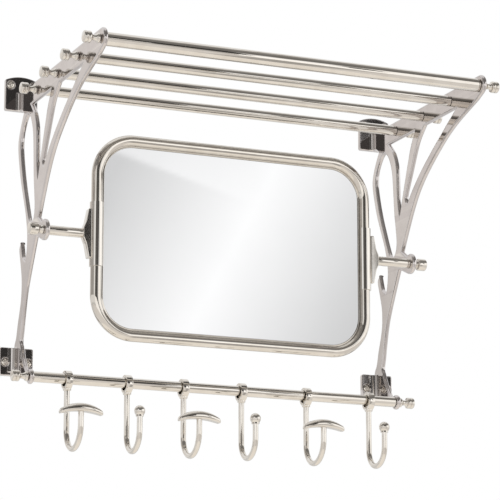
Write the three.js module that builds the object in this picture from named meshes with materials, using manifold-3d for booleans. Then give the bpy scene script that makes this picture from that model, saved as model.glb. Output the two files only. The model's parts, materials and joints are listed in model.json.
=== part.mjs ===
// A wall rack: two cast side brackets carry a shelf of tubes, a tilting mirror and a rail of sliding hooks.
//
// Millimetres. X runs along the wall, which is the plane Y = 0, the rack stands out towards -Y and Z is up.
// X = 0 is midway between the brackets and Z = 0 is the lower edge of their bottom wall flanges.
// A "depth" is a distance from the wall (-Y) and a "height" is a distance above Z = 0.

import * as THREE from 'three';
import { mergeVertices } from 'three/addons/utils/BufferGeometryUtils.js';
import Module from 'manifold-3d';

// ----------------------------------------------------------------------------------------------------
// Driving dimensions
// ----------------------------------------------------------------------------------------------------

// Clearances
const seatGap = 0.3; // between two faces that bear on each other
const boreGap = 0.3; // round a rod in its bore, on the radius

// Side brackets
const bracketSpan = 445; // between the brackets' inner faces
const bracketThickness = 5;

// Wall flanges, cast in one with the bracket
const flangeWidth = 39;
const flangeThickness = 6;
const flangeFillet = 4; // radius of the fillets between a flange and the bracket's faces
const topFlangeDrop = 9.5; // from the shelf tubes' axes down to the top flange's lower edge
const topFlangeReach = 27; // from the same axes up to where its arched top starts
const topFlangeRise = 4.5; // rise of the arch
const bottomFlangeHeight = 32;

// Flange screws, countersunk with a domed head
const screwSpacing = 27;
const topScrewRise = 21; // above the shelf tubes' axes
const bottomScrewHeight = 15.5;
const screwHeadDiameter = 8.5;
const screwShankDiameter = 4.5;
const screwHeadDepth = 2.2;
const screwDome = 1.1;

// Shelf
const shelfHeight = 317.5; // of the tubes' axes
const shelfTubeCount = 4;
const shelfTubePitch = 70;
const backTubeDepth = 68;
const shelfTubeDiameter = 12;
const frontTubeDiameter = 15;
const shelfTubeWall = 1.5;
const stripHeight = 24; // of the bracket's top strip, which ends in a round nose
const tieRodDiameter = 5;

// Turned finials, screwed on the ends of the tie rods and of the rail
const finialBeadDiameter = 11;
const finialBeadLength = 4.4;
const finialWaistDiameter = 6.6;
const finialWaistLength = 6;
const finialButtonDiameter = 13;
const finialButtonLength = 8.6;
const finialGroove = 0.8; // depth of the groove round the button
const finialCrown = 0.4; // rise of the button's end
const finialBoreDepth = 5;

// Hook rail, a solid rod whose ends are turned down to pass the brackets' eyes
const railDepth = 56.5;
const railHeight = -8.4;
const railDiameter = 12;
const eyeDiameter = 17;

// Hooks
const hookPlaces = [-182, -111, -43, 28, 109, 189]; // X of each hook as the rack is shown
const collarDiameter = 18.6;
const collarWidth = 7.5;
const collarChamfer = 0.7;
const hookRodDiameter = 7.6;
const ferruleDiameter = 10.4;
const ferruleLength = 6.5; // below the collar
const ferruleLip = 0.3; // by which its foot stands out from the rod
const hookStudDiameter = 4;
const hookStudLength = 3.6;
const tipRecess = 0.6; // round the rod's end in its cap or ball, on the radius

// Between the rod's two arms, and from the rail's axis down to the middle of the bend and to the seat of the tip
const wideHook = { width: 48, drop: 81.6, tipDrop: 43.1 };
const slimHook = { width: 41, drop: 79.9, tipDrop: 42 };

// Crescent caps of the hat hooks and balls of the coat hooks
const capLength = 55;
const capWidth = 15;
const capRise = 9.4; // from its seat on the rod to its crown
const capBelly = 2.2; // thickness under its widest line
const capDroop = 8.6; // how far the tips hang below the middle
const ballDiameter = 12.4;

// Mirror, measured to the axis of its frame tube
const mirrorWidth = 330;
const mirrorHeight = 224;
const mirrorCornerRadius = 43;
const frameTubeDiameter = 14.5;
const beadWidth = 2.9;
const beadThickness = 3.4;
const beadBevel = 1;
const beadBack = 0.5; // in front of the tube's axis
const glassThickness = 4;
const backingThickness = 1.5;

// Mirror pivots
const pivotDepth = 98.5;
const pivotHeight = 149;
const earDiameter = 24;
const sleeveLength = 73;
const sleeveWall = 1.2;
const pivotPlateHeight = 56;
const pivotPlateThickness = 10.5;
const pivotPlateReach = 16.5; // from the side tube's axis to the plate's nose
const pivotPlateFlank = 2; // height of the plate's side edge next to the sleeve
const pivotPlateCorner = 1;
const pivotPlateSweep = 0.9; // by which its slanted edges are hollow
const spigotClearance = 1; // between the pivot rod's spigot and the sleeve
const pivotRodDiameter = 11;
const pivotStudDiameter = 6;
const knobNeckDiameter = 8.4;
const knobNeckLength = 5.5;
const knobDiameter = 14;
const knobLength = 10.5;
const knobChamfer = 0.9;
const knobBoreDepth = 12;

// How far a cutter, or a shape that is joined on, reaches past a face
const overlap = 1;

// How finely round shapes are cut
const turnedSides = 12;
const tubeSides = 16;
const wireSides = 8;
const hoopSides = 12;
const hoopStations = 32; // a multiple of four, so that each corner gets the same share
const pointsPerKnot = 2;
const weldDistance = 1e-4;

// ----------------------------------------------------------------------------------------------------
// Sizes that follow
// ----------------------------------------------------------------------------------------------------

const innerFace = bracketSpan / 2;
const bracketMiddle = innerFace + bracketThickness / 2;
const outerFace = innerFace + bracketThickness;

const tubeDepth = (index) => backTubeDepth + shelfTubePitch * index;
const frontTubeDepth = tubeDepth(shelfTubeCount - 1);
const topFlangeFoot = shelfHeight - topFlangeDrop;
const topFlangeShoulder = shelfHeight + topFlangeReach;
const topScrewHeight = shelfHeight + topScrewRise;
const stripTop = shelfHeight + stripHeight / 2;
const stripUnderside = shelfHeight - stripHeight / 2;

const tieBore = tieRodDiameter + 2 * boreGap;
const pivotBore = pivotStudDiameter + 2 * boreGap;

const sleeveBore = frameTubeDiameter + 2 * boreGap;
const sleeveDiameter = sleeveBore + 2 * sleeveWall;

const collarBore = railDiameter + 2 * boreGap;

// ----------------------------------------------------------------------------------------------------
// Solids
// ----------------------------------------------------------------------------------------------------

const wasm = await Module();
wasm.setup();

function toSolid(geometry) {
  const bare = geometry.clone();
  bare.deleteAttribute('normal');
  bare.deleteAttribute('uv');
  const merged = mergeVertices(bare, weldDistance);
  const vertProperties = new Float32Array(merged.attributes.position.array);
  const corners = merged.index.array;
  const kept = [];
  for (let i = 0; i < corners.length; i += 3) {
    const [a, b, c] = corners.slice(i, i + 3);
    const hasArea = a !== b && b !== c && c !== a; // a turned profile leaves none where it meets its axis
    if (hasArea) {
      kept.push(a, b, c);
    }
  }
  const triVerts = new Uint32Array(kept);
  return new wasm.Manifold(new wasm.Mesh({ numProp: 3, vertProperties, triVerts }));
}

function toGeometry(solid) {
  const { vertProperties, triVerts } = solid.getMesh();
  const geometry = new THREE.BufferGeometry();
  geometry.setAttribute('position', new THREE.BufferAttribute(vertProperties, 3));
  geometry.setIndex(new THREE.BufferAttribute(triVerts, 1));
  geometry.computeVertexNormals();
  return geometry;
}

function joined(geometries, cutters = []) {
  let solid = toSolid(geometries[0]);
  for (const geometry of geometries.slice(1)) {
    solid = solid.add(toSolid(geometry));
  }
  for (const cutter of cutters) {
    solid = solid.subtract(toSolid(cutter));
  }
  return toGeometry(solid);
}

// A turned piece about X. The profile's points are [radius, distance along X].
function turnedAlongX(profile, sides) {
  const points = profile.map(([radius, along]) => new THREE.Vector2(radius, along));
  return new THREE.LatheGeometry(points, sides).rotateZ(-Math.PI / 2);
}

// A turned piece about Z. The profile's points are [radius, height].
function turnedAlongZ(profile, sides) {
  const points = profile.map(([radius, height]) => new THREE.Vector2(radius, height));
  return new THREE.LatheGeometry(points, sides).rotateX(Math.PI / 2);
}

// A turned piece about Y. The profile's points are [radius, depth], so it grows away from the wall.
function turnedFromWall(profile, sides) {
  const points = profile.map(([radius, depth]) => new THREE.Vector2(radius, depth));
  return new THREE.LatheGeometry(points, sides).rotateX(Math.PI);
}

// A plain rod or bore between two distances along X.
function rodProfile(diameter, from, to) {
  return [[0, from], [diameter / 2, from], [diameter / 2, to], [0, to]];
}

// ----------------------------------------------------------------------------------------------------
// Outlines, in the bracket's own plane: x is the depth and y is the height
// ----------------------------------------------------------------------------------------------------

const at = (depth, height) => new THREE.Vector2(depth, height);

// Points along an edge from one corner to another. A knot is a share of the way and a rise to the left of it.
function swept(from, to, knots) {
  const way = to.clone().sub(from);
  const left = new THREE.Vector2(-way.y, way.x).normalize();
  const bend = ([share, rise]) => from.clone().addScaledVector(way, share).addScaledVector(left, rise);
  const bends = knots.map(bend);
  return new THREE.SplineCurve([from, ...bends, to]).getPoints(pointsPerKnot * (bends.length + 1));
}

function round(centre, radius, fromDegrees, toDegrees, segments) {
  const points = [];
  for (let i = 0; i <= segments; i += 1) {
    const angle = THREE.MathUtils.degToRad(fromDegrees + ((toDegrees - fromDegrees) * i) / segments);
    points.push(at(centre.x + radius * Math.cos(angle), centre.y + radius * Math.sin(angle)));
  }
  return points;
}

function roundHole(centre, diameter) {
  return new THREE.Path(round(centre, diameter / 2, 0, 360, turnedSides).slice(0, -1));
}

// ----------------------------------------------------------------------------------------------------
// Side bracket
// ----------------------------------------------------------------------------------------------------

const pivot = at(pivotDepth, pivotHeight);
const eye = at(railDepth, railHeight);
const nose = at(frontTubeDepth, shelfHeight);
const noseAngle = -49; // where the first arm leaves the nose

// Corners where the casting's arms meet
const armCrotch = pivot.clone().add(at(-2.5, 73.6)); // between the first and the second arm
const innerCrotch = pivot.clone().add(at(-22.3, 64)); // between the second and the third arm
const loopPoint = pivot.clone().add(at(-41.5, 15.5));
const leafCrotch = pivot.clone().add(at(-61.5, -23));
const leafTip = pivot.clone().add(at(-77.5, 2));
const earTop = pivot.clone().add(at(-18, 18.5));
const earFoot = pivot.clone().add(at(-26.5, -1.5));
const thirdArmTop = at(backTubeDepth - 19, stripUnderside);
const loopCrown = at(backTubeDepth - 31, stripUnderside - 8.5);
const wallNotch = at(flangeThickness + 15.3, topFlangeFoot - 6);
const secondArmBack = at(tubeDepth(1) - 20, stripUnderside);
const secondArmFront = at(tubeDepth(1) + 5.7, stripUnderside);
const firstArmBack = at(frontTubeDepth - 55.5, stripUnderside);
const kneeCorner = at(flangeThickness + 18.5, bottomFlangeHeight + 5.3);

function castingOutline() {
  const inFlange = flangeThickness / 2;
  const noseRadius = stripHeight / 2;
  const noseEdge = round(nose, noseRadius, 90, noseAngle, 9);
  const eyeEdge = round(eye, eyeDiameter / 2, 140, -124, 12);
  const underFoot = at(flangeThickness + 2, 0);
  const leafFoot = at(flangeThickness - 0.5, bottomFlangeHeight - 0.5);
  return [
    at(inFlange, stripTop),
    ...noseEdge,
    ...swept(noseEdge.at(-1), earTop, [
      [0.07, -3.7], [0.22, -16.2], [0.37, -25.1], [0.57, -29], [0.72, -26.5], [0.86, -15.3],
    ]).slice(1),
    ...round(pivot, earDiameter / 2, 118, -110, 10),
    ...swept(earFoot, kneeCorner, [[0.26, -4.1], [0.57, -7.1], [0.89, -1.8]]),
    ...swept(kneeCorner, eyeEdge[0], [[0.35, -2.8], [0.75, -2.7]]).slice(1),
    ...eyeEdge.slice(1),
    ...swept(eyeEdge.at(-1), underFoot, [[0.21, -1.5]]).slice(1),
    at(inFlange, 0.5),
    at(inFlange, leafFoot.y),
    ...swept(leafFoot, leafTip, [[0.23, -5.2], [0.45, -11.5], [0.66, -8.7], [0.88, 3.6], [0.95, 5.1]]),
    ...swept(leafTip, leafCrotch, [[0.22, -1.5], [0.67, -4.3]]).slice(1),
    ...swept(leafCrotch, wallNotch, [
      [0.06, -4.8], [0.17, -7.1], [0.33, -1], [0.56, 13.7], [0.77, 21.3], [0.86, 18.8], [0.94, 9.6],
    ]).slice(1),
    at(flangeThickness + flangeFillet + 3, topFlangeFoot - 1),
    at(inFlange, topFlangeFoot + 1),
  ];
}

// The gap between the first and the second arm.
function frontGap() {
  return [
    ...swept(firstArmBack, armCrotch, [[0.3, -3.6], [0.62, -5.6], [0.84, -4.1]]),
    ...swept(armCrotch, secondArmFront, [[0.06, 7.5], [0.36, 8.2], [0.7, 8.2], [0.85, 5.5]]).slice(1),
  ];
}

// The gap between the second and the third arm.
function middleGap() {
  return [
    ...swept(secondArmBack, innerCrotch, [[0.12, -1.8], [0.28, -3.4], [0.63, -2.2]]),
    ...swept(innerCrotch, thirdArmTop, [
      [0.21, -1.8], [0.46, -7.9], [0.64, -11], [0.81, -9.1], [0.91, -4.9],
    ]).slice(1),
  ];
}

// The tall loop between the third arm and the wall side of the stem.
function loopGap() {
  return [
    ...swept(loopCrown, loopPoint, [
      [0.05, 7.1], [0.14, 12.5], [0.28, 14.8], [0.62, 11.9], [0.86, 12.2], [0.96, 7.8],
    ]),
    ...swept(loopPoint, loopCrown, [
      [0.06, 7.5], [0.29, 17], [0.5, 24], [0.74, 28], [0.88, 24], [0.98, 10],
    ]).slice(1, -1),
  ];
}

// A plate in the bracket's plane, centred on X = 0. Its outline is listed clockwise.
function uprightPlate(outline, holes) {
  const shape = new THREE.Shape([...outline].reverse());
  shape.holes = holes;
  const plate = new THREE.ExtrudeGeometry(shape, { depth: bracketThickness, bevelEnabled: false });
  plate.translate(0, 0, -bracketThickness / 2);
  const turn = new THREE.Matrix4().makeBasis(
    new THREE.Vector3(0, -1, 0),
    new THREE.Vector3(0, 0, 1),
    new THREE.Vector3(-1, 0, 0),
  );
  return plate.applyMatrix4(turn);
}

// A plate that lies on the wall. The outline's x is X and its y is the height.
function wallPlate(outline) {
  const shape = new THREE.Shape(outline);
  const plate = new THREE.ExtrudeGeometry(shape, { depth: flangeThickness, bevelEnabled: false });
  return plate.rotateX(Math.PI / 2);
}

function topFlange() {
  const half = flangeWidth / 2;
  const archRadius = (half * half + topFlangeRise * topFlangeRise) / (2 * topFlangeRise);
  const archCentre = at(0, topFlangeShoulder + topFlangeRise - archRadius);
  const halfAngle = THREE.MathUtils.radToDeg(Math.asin(half / archRadius));
  return wallPlate([
    at(-half, topFlangeFoot),
    at(half, topFlangeFoot),
    ...round(archCentre, archRadius, 90 - halfAngle, 90 + halfAngle, 8),
  ]);
}

function bottomFlange() {
  const half = flangeWidth / 2;
  return wallPlate([at(-half, 0), at(half, 0), at(half, bottomFlangeHeight), at(-half, bottomFlangeHeight)]);
}

// The web that rounds the corners between a flange and both faces of the bracket.
function flangeFillets(low, high) {
  const half = bracketThickness / 2;
  const rim = half + flangeFillet;
  const crest = flangeThickness + flangeFillet;
  const section = [
    at(-rim, flangeThickness - overlap),
    at(-rim, flangeThickness),
    ...round(at(-rim, crest), flangeFillet, -90, 0, 4).slice(1),
    ...round(at(rim, crest), flangeFillet, 180, 270, 4),
    at(rim, flangeThickness - overlap),
  ];
  const web = new THREE.ExtrudeGeometry(new THREE.Shape(section), { depth: high - low, bevelEnabled: false });
  return web.rotateX(Math.PI).translate(0, 0, high);
}

// What a flange screw takes out of its flange, or the screw itself where the gap is nothing.
function screwProfile(gap, inner, dome) {
  const neck = flangeThickness - screwHeadDepth;
  return [
    [0, inner],
    [screwShankDiameter / 2 + gap, inner],
    [screwShankDiameter / 2 + gap, neck],
    [screwHeadDiameter / 2 + gap, flangeThickness],
    ...dome,
  ];
}

function screwHole(x, height) {
  const top = flangeThickness + overlap;
  const mouth = [[screwHeadDiameter / 2 + boreGap, top], [0, top]];
  return turnedFromWall(screwProfile(boreGap, -overlap, mouth), turnedSides).translate(x, 0, height);
}

function flangeScrewGeometry() {
  const crown = flangeThickness + screwDome;
  const dome = [[screwHeadDiameter * 0.3, flangeThickness + screwDome * 0.75], [0, crown]];
  return turnedFromWall(screwProfile(0, seatGap, dome), turnedSides);
}

function bracketGeometry() {
  const tieHole = (_, i) => roundHole(at(tubeDepth(i), shelfHeight), tieBore);
  const tieHoles = Array.from({ length: shelfTubeCount }, tieHole);
  const gaps = [frontGap(), middleGap(), loopGap()].map((outline) => new THREE.Path(outline));
  const plate = uprightPlate(castingOutline(), [
    ...gaps,
    ...tieHoles,
    roundHole(pivot, pivotBore),
    roundHole(eye, tieBore),
  ]);
  const screwHoles = [-screwSpacing / 2, screwSpacing / 2].flatMap((x) => [
    screwHole(x, topScrewHeight),
    screwHole(x, bottomScrewHeight),
  ]);
  return joined(
    [
      plate,
      topFlange(),
      bottomFlange(),
      flangeFillets(topFlangeFoot, stripTop),
      flangeFillets(flangeFillet, bottomFlangeHeight),
    ],
    screwHoles,
  );
}

// ----------------------------------------------------------------------------------------------------
// Shelf and rail
// ----------------------------------------------------------------------------------------------------

function shelfTubeGeometry(diameter) {
  const half = innerFace - seatGap;
  const outer = diameter / 2;
  const inner = outer - shelfTubeWall;
  const profile = [[inner, -half], [outer, -half], [outer, half], [inner, half], [inner, -half]];
  return turnedAlongX(profile, tubeSides);
}

const tieRodEnd = outerFace + finialBoreDepth; // which leaves a seat gap to the bottom of the finial's bore

function tieRodGeometry() {
  return turnedAlongX(rodProfile(tieRodDiameter, -tieRodEnd, tieRodEnd), turnedSides);
}

function railGeometry() {
  const shoulder = innerFace - seatGap;
  const rod = railDiameter / 2;
  const stud = tieRodDiameter / 2;
  return turnedAlongX([
    [0, -tieRodEnd], [stud, -tieRodEnd], [stud, -shoulder], [rod, -shoulder],
    [rod, shoulder], [stud, shoulder], [stud, tieRodEnd], [0, tieRodEnd],
  ], tubeSides);
}

// A finial that points along +X from its seat at X = 0: a bead, a waist and a button with a groove round it.
function finialGeometry() {
  const bead = finialBeadDiameter / 2;
  const waist = finialWaistDiameter / 2;
  const button = finialButtonDiameter / 2;
  const waistStart = finialBeadLength;
  const buttonStart = waistStart + finialWaistLength;
  const end = buttonStart + finialButtonLength;
  const along = (share) => buttonStart + finialButtonLength * share;
  return turnedAlongX([
    [0, finialBoreDepth],
    [tieBore / 2, finialBoreDepth],
    [tieBore / 2, 0],
    [bead * 0.84, 0],
    [bead, waistStart * 0.42],
    [bead * 0.84, waistStart * 0.92],
    [waist * 1.08, waistStart + finialWaistLength * 0.3],
    [waist, waistStart + finialWaistLength * 0.65],
    [button * 0.7, buttonStart],
    [button, along(0.2)],
    [button, along(0.4)],
    [button - finialGroove, along(0.5)],
    [button, along(0.6)],
    [button, along(0.85)],
    [button * 0.78, end],
    [0, end + finialCrown],
  ], turnedSides);
}

// ----------------------------------------------------------------------------------------------------
// Hooks, drawn about the axis of the rail
// ----------------------------------------------------------------------------------------------------

function collarGeometry() {
  const bore = collarBore / 2;
  const rim = collarDiameter / 2;
  const half = collarWidth / 2;
  return turnedAlongX([
    [bore, -half], [rim - collarChamfer, -half], [rim, -half + collarChamfer],
    [rim, half - collarChamfer], [rim - collarChamfer, half], [bore, half], [bore, -half],
  ], tubeSides);
}

// The bent rod's axis: down the shank, round the bend and up to the seat of its cap or ball.
function hookRoute({ width, drop, tipDrop }) {
  const bend = width / 2;
  const bendHeight = bend - drop;
  const route = new THREE.CurvePath();
  const shankTop = new THREE.Vector3(0, 0, overlap - collarDiameter / 2);
  const shankFoot = new THREE.Vector3(0, 0, bendHeight);
  route.add(new THREE.LineCurve3(shankTop, shankFoot));
  const turns = 3;
  const spread = Math.PI / turns;
  const handle = (4 / 3) * bend * Math.tan(spread / 4);
  const onBend = (angle) => {
    const inward = bend * (Math.cos(angle) - 1);
    return new THREE.Vector3(0, inward, bendHeight - bend * Math.sin(angle));
  };
  const heading = (angle) => new THREE.Vector3(0, -Math.sin(angle), -Math.cos(angle));
  for (let i = 0; i < turns; i += 1) {
    const start = spread * i;
    const stop = start + spread;
    route.add(new THREE.CubicBezierCurve3(
      onBend(start),
      onBend(start).addScaledVector(heading(start), handle),
      onBend(stop).addScaledVector(heading(stop), -handle),
      onBend(stop),
    ));
  }
  route.add(new THREE.LineCurve3(onBend(Math.PI), new THREE.Vector3(0, -width, -tipDrop)));
  return route;
}

function hookRodGeometry(hook) {
  const section = new THREE.Shape(round(at(0, 0), hookRodDiameter / 2, 0, 360, wireSides).slice(0, -1));
  const steps = 15;
  const extrudePath = hookRoute(hook);
  const wire = new THREE.ExtrudeGeometry(section, { steps, bevelEnabled: false, extrudePath });
  const ferruleTop = 2 * overlap - collarDiameter / 2;
  const ferruleFoot = -collarDiameter / 2 - ferruleLength;
  const ferrule = turnedAlongZ([
    [0, ferruleFoot],
    [hookRodDiameter / 2 + ferruleLip, ferruleFoot],
    [ferruleDiameter / 2, ferruleFoot + ferruleLength * 0.55],
    [ferruleDiameter / 2, ferruleTop],
    [0, ferruleTop],
  ], turnedSides);
  const studTop = hookStudLength - hook.tipDrop;
  const stud = turnedAlongZ(rodProfile(hookStudDiameter, -hook.tipDrop - overlap, studTop), wireSides);
  stud.translate(0, -hook.width, 0);
  const seatProfile = rodProfile(collarDiameter + 2 * seatGap, -collarWidth * 2, collarWidth * 2);
  const collarSeat = turnedAlongX(seatProfile, tubeSides * 2);
  return joined([wire, ferrule, stud], [collarSeat]);
}

// What the rod's stud and shoulder take out of a cap or ball, drawn about the middle of the rod's seat.
function seatCutter() {
  const shoulder = hookRodDiameter / 2 + tipRecess;
  const bore = hookStudDiameter / 2 + boreGap;
  return turnedAlongZ([
    [0, -hookRodDiameter],
    [shoulder, -hookRodDiameter],
    [shoulder, seatGap],
    [bore, seatGap],
    [bore, hookStudLength + seatGap],
    [0, hookStudLength + seatGap],
  ], turnedSides);
}

// A crescent: a flattened ball drawn out along X, with its tips bent down.
function capGeometry() {
  const cap = new THREE.SphereGeometry(1, 10, 12).rotateZ(Math.PI / 2);
  const spot = new THREE.Vector3();
  const position = cap.attributes.position;
  for (let i = 0; i < position.count; i += 1) {
    spot.fromBufferAttribute(position, i);
    const swell = spot.z > 0 ? spot.z * capRise : spot.z * capBelly;
    const height = swell - capDroop * spot.x * spot.x;
    position.setXYZ(i, (spot.x * capLength) / 2, (spot.y * capWidth) / 2, height);
  }
  return joined([cap], [seatCutter()]);
}

// A ball whose cut underside sits on the rod's shoulder.
function ballGeometry() {
  const radius = ballDiameter / 2;
  const seatRadius = hookRodDiameter / 2 + tipRecess;
  const middle = Math.sqrt(radius * radius - seatRadius * seatRadius);
  const ball = new THREE.SphereGeometry(radius, 10, 8).rotateX(Math.PI / 2).translate(0, 0, middle + seatGap);
  return joined([ball], [seatCutter()]);
}

// ----------------------------------------------------------------------------------------------------
// Mirror, drawn about its pivot axis
// ----------------------------------------------------------------------------------------------------

// A ring or disc turned about Y whose quarters are moved apart, so that it follows a rounded rectangle.
// The profile's points are [radius of the corner, distance towards the front].
function roundedRectangle(profile) {
  const points = profile.map(([radius, front]) => new THREE.Vector2(radius, front));
  const halfStep = Math.PI / hoopStations;
  const ring = new THREE.LatheGeometry(points, hoopStations, halfStep, 2 * Math.PI).rotateX(Math.PI);
  const spreadX = mirrorWidth / 2 - mirrorCornerRadius;
  const spreadZ = mirrorHeight / 2 - mirrorCornerRadius;
  const position = ring.attributes.position;
  for (let i = 0; i < position.count; i += 1) {
    const x = position.getX(i);
    const z = position.getZ(i);
    const isOnAxis = Math.hypot(x, z) < weldDistance;
    if (!isOnAxis) {
      position.setX(i, x + Math.sign(x) * spreadX);
      position.setZ(i, z + Math.sign(z) * spreadZ);
    }
  }
  return ring;
}

// What lies just inside the frame tube
const rimRadius = mirrorCornerRadius - frameTubeDiameter / 2 - boreGap;
const glassFront = beadBack - seatGap;
const glassBack = glassFront - glassThickness;
const backingFront = glassBack - seatGap;

function frameGeometry() {
  const section = round(at(mirrorCornerRadius, 0), frameTubeDiameter / 2, 0, 360, hoopSides);
  return roundedRectangle(section.map((point) => [point.x, point.y]));
}

function beadGeometry() {
  const inner = rimRadius - beadWidth;
  const front = beadBack + beadThickness;
  return roundedRectangle([
    [inner, beadBack], [rimRadius, beadBack], [rimRadius, front - beadBevel],
    [inner + beadWidth / 2, front], [inner, front - beadBevel], [inner, beadBack],
  ]);
}

function sheetGeometry(radius, back, front) {
  return roundedRectangle([[0, back], [radius, back], [radius, front], [0, front]]);
}

// The right sleeve, open along the side where the glass, its bead and its backing come in.
function sleeveGeometry() {
  const bore = sleeveBore / 2;
  const rim = sleeveDiameter / 2;
  const half = sleeveLength / 2;
  const profile = [[bore, -half], [rim, -half], [rim, half], [bore, half], [bore, -half]];
  const sleeve = turnedAlongZ(profile, tubeSides);
  const slotFront = beadBack + beadThickness + seatGap;
  const slotBack = backingFront - backingThickness - seatGap;
  const slot = new THREE.BoxGeometry(sleeveDiameter, slotFront - slotBack, sleeveLength * 2);
  slot.translate(-sleeveDiameter / 2, -(slotFront + slotBack) / 2, 0);
  return joined([sleeve], [slot]);
}

// The plate that carries the right pivot rod, drawn about the side tube's axis.
function pivotPlateGeometry() {
  const half = pivotPlateHeight / 2;
  const rod = pivotRodDiameter / 2;
  const flank = sleeveDiameter / 2 + pivotPlateFlank;
  const outline = [
    at(0, -half),
    at(flank - pivotPlateCorner, -half),
    ...swept(at(flank, pivotPlateCorner - half), at(pivotPlateReach, -rod), [[0.5, pivotPlateSweep]]),
    ...swept(at(pivotPlateReach, rod), at(flank, half - pivotPlateCorner), [[0.5, pivotPlateSweep]]),
    at(flank - pivotPlateCorner, half),
    at(0, half),
  ];
  const shape = new THREE.Shape(outline);
  const plate = new THREE.ExtrudeGeometry(shape, { depth: pivotPlateThickness, bevelEnabled: false });
  plate.translate(0, 0, -pivotPlateThickness / 2).rotateX(Math.PI / 2);
  const seatProfile = rodProfile(sleeveDiameter + 2 * seatGap, -sleeveLength, sleeveLength);
  const sleeveSeat = turnedAlongZ(seatProfile, tubeSides);
  const spigotBore = turnedAlongX(rodProfile(pivotBore, 0, pivotPlateReach + overlap), turnedSides);
  return joined([plate], [sleeveSeat, spigotBore]);
}

const plateNose = mirrorWidth / 2 + pivotPlateReach;
const sleeveFace = mirrorWidth / 2 + sleeveDiameter / 2;
const pivotStudEnd = outerFace + knobBoreDepth;

// The right pivot rod: a spigot in the plate, the rod, and a stud through the bracket's ear into the knob.
function pivotRodGeometry() {
  const rod = pivotRodDiameter / 2;
  const stud = pivotStudDiameter / 2;
  const spigotEnd = sleeveFace + spigotClearance;
  const shoulder = plateNose + seatGap;
  const end = innerFace - seatGap;
  return turnedAlongX([
    [0, spigotEnd], [stud, spigotEnd], [stud, shoulder], [rod, shoulder],
    [rod, end], [stud, end], [stud, pivotStudEnd], [0, pivotStudEnd],
  ], tubeSides);
}

// The right clamp knob, drawn from its seat on the bracket's outer face.
function knobGeometry() {
  const neck = knobNeckDiameter / 2;
  const grip = knobDiameter / 2;
  const end = knobNeckLength + knobLength;
  return turnedAlongX([
    [0, knobBoreDepth],
    [pivotBore / 2, knobBoreDepth],
    [pivotBore / 2, 0],
    [grip * 0.72, 0],
    [neck, knobNeckLength * 0.5],
    [neck, knobNeckLength * 0.8],
    [grip - knobChamfer, knobNeckLength],
    [grip, knobNeckLength + knobChamfer],
    [grip, end - knobChamfer],
    [grip - knobChamfer, end],
    [0, end],
  ], tubeSides);
}

// ----------------------------------------------------------------------------------------------------
// Finishes, each made anew for the piece that has it
// ----------------------------------------------------------------------------------------------------

const finish = (color, roughness, metalness) => new THREE.MeshStandardMaterial({ color, roughness, metalness });
const castNickel = () => finish(0xcfc9c2, 0.22, 1);
const polishedNickel = () => finish(0xdcd6cd, 0.1, 1);
const threadedSteel = () => finish(0x9a9a98, 0.4, 1);
const silveredGlass = () => finish(0xeef0f1, 0.02, 1);
const greyBoard = () => finish(0x4a4a4c, 0.8, 0);

// ----------------------------------------------------------------------------------------------------
// Assembly
// ----------------------------------------------------------------------------------------------------

function piece(name, geometry, material) {
  const mesh = new THREE.Mesh(geometry, material);
  mesh.name = name;
  return mesh;
}

function placed(object, x, depth, height) {
  object.position.set(x, -depth, height);
  return object;
}

const sides = [
  { name: 'left', sign: -1, turn: Math.PI },
  { name: 'right', sign: 1, turn: 0 },
];

function makeBrackets() {
  const group = new THREE.Group();
  for (const { name, sign } of sides) {
    const bracket = piece(`bracket_${name}`, bracketGeometry(), castNickel());
    group.add(placed(bracket, sign * bracketMiddle, 0, 0));
    for (const [level, height] of [['top', topScrewHeight], ['bottom', bottomScrewHeight]]) {
      for (const [place, offset] of [['outer', sign], ['inner', -sign]]) {
        const screw = piece(`flange_screw_${name}_${level}_${place}`, flangeScrewGeometry(), polishedNickel());
        group.add(placed(screw, sign * bracketMiddle + (offset * screwSpacing) / 2, 0, height));
      }
    }
  }
  return group;
}

function makeFinial(name, sign, turn, depth, height) {
  const finial = piece(name, finialGeometry(), polishedNickel());
  finial.rotation.y = turn;
  return placed(finial, sign * (outerFace + seatGap), depth, height);
}

function makeShelf() {
  const group = new THREE.Group();
  for (let i = 0; i < shelfTubeCount; i += 1) {
    const isFront = i === shelfTubeCount - 1;
    const tube = shelfTubeGeometry(isFront ? frontTubeDiameter : shelfTubeDiameter);
    group.add(placed(piece(`shelf_tube_${i + 1}`, tube, polishedNickel()), 0, tubeDepth(i), shelfHeight));
    const tieRod = piece(`shelf_tie_rod_${i + 1}`, tieRodGeometry(), threadedSteel());
    group.add(placed(tieRod, 0, tubeDepth(i), shelfHeight));
    for (const { name, sign, turn } of sides) {
      group.add(makeFinial(`shelf_finial_${i + 1}_${name}`, sign, turn, tubeDepth(i), shelfHeight));
    }
  }
  return group;
}

function makeRail() {
  const group = new THREE.Group();
  group.add(placed(piece('hook_rail', railGeometry(), polishedNickel()), 0, railDepth, railHeight));
  for (const { name, sign, turn } of sides) {
    group.add(makeFinial(`rail_finial_${name}`, sign, turn, railDepth, railHeight));
  }
  return group;
}

function makeHook(index, x) {
  const hasCap = index % 2 === 0;
  const hook = hasCap ? wideHook : slimHook;
  const name = `hook_${index + 1}`;
  const group = placed(new THREE.Group(), x, railDepth, railHeight);
  group.add(piece(`${name}_collar`, collarGeometry(), polishedNickel()));
  group.add(piece(`${name}_rod`, hookRodGeometry(hook), polishedNickel()));
  const tip = hasCap
    ? piece(`${name}_cap`, capGeometry(), polishedNickel())
    : piece(`${name}_ball`, ballGeometry(), polishedNickel());
  group.add(placed(tip, 0, hook.width, -hook.tipDrop));
  return group;
}

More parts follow.
